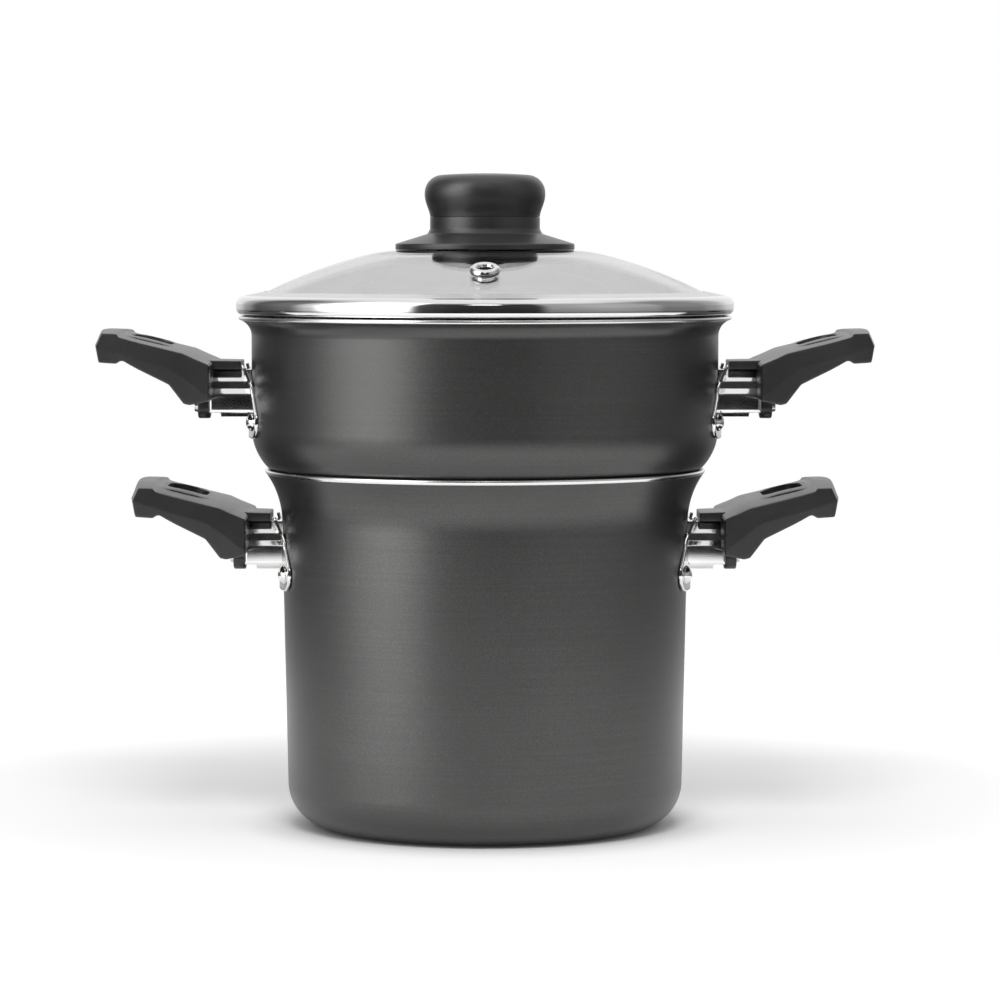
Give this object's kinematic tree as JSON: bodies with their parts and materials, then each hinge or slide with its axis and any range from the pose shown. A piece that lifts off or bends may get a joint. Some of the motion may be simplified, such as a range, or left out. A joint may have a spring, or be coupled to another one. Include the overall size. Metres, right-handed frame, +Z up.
{
  "type": "couscous steamer",
  "caption": "Stacked stovetop steamer: a tall pot with a flared mouth, a steamer pan with a perforated base that nests in it, and a domed glass lid with a knob.",
  "frame": {"origin": "centre of the pot's flat base, on the surface that it stands on", "axes": "+X through the right-hand handles, +Z up along the axis of pot, pan and lid; the steam vent is towards -Y"},
  "size_m": [0.3866, 0.2482, 0.3263],
  "materials": {
    "coated_aluminium": "satin grey non-stick coating",
    "polished_steel": "polished",
    "bakelite": "moulded, fine grain",
    "plated_steel": "zinc plated",
    "tempered_glass": "clear",
    "insert_brass": "turned",
    "soft_washer": "matte"
  },
  "bodies": {
    "pot": {"pot_body": "coated_aluminium", "pot_bracket_left": "polished_steel", "pot_bracket_right": "polished_steel", "pot_handle_left": "bakelite", "pot_handle_right": "bakelite", "pot_rivets": "polished_steel", "pot_handle_screws": "plated_steel", "pot_handle_nuts": "plated_steel"},
    "steamer_pan": {"pan_body": "coated_aluminium", "pan_bracket_left": "polished_steel", "pan_bracket_right": "polished_steel", "pan_handle_left": "bakelite", "pan_handle_right": "bakelite", "pan_rivets": "polished_steel", "pan_handle_screws": "plated_steel", "pan_handle_nuts": "plated_steel"},
    "lid": {"lid_glass": "tempered_glass", "lid_band": "polished_steel", "steam_vent": "polished_steel", "knob_base": "bakelite", "knob_grip": "bakelite", "knob_insert": "insert_brass", "knob_gasket": "soft_washer", "knob_cup_washer": "plated_steel", "knob_screw": "plated_steel"}
  },
  "joints": [
    {"name": "pan_lift", "type": "slide", "parent": "pot", "child": "steamer_pan", "axis": [0, 0, 1], "range_m": [0, 0.12]},
    {"name": "lid_lift", "type": "slide", "parent": "steamer_pan", "child": "lid", "axis": [0, 0, 1], "range_m": [0, 0.1]}
  ]
}
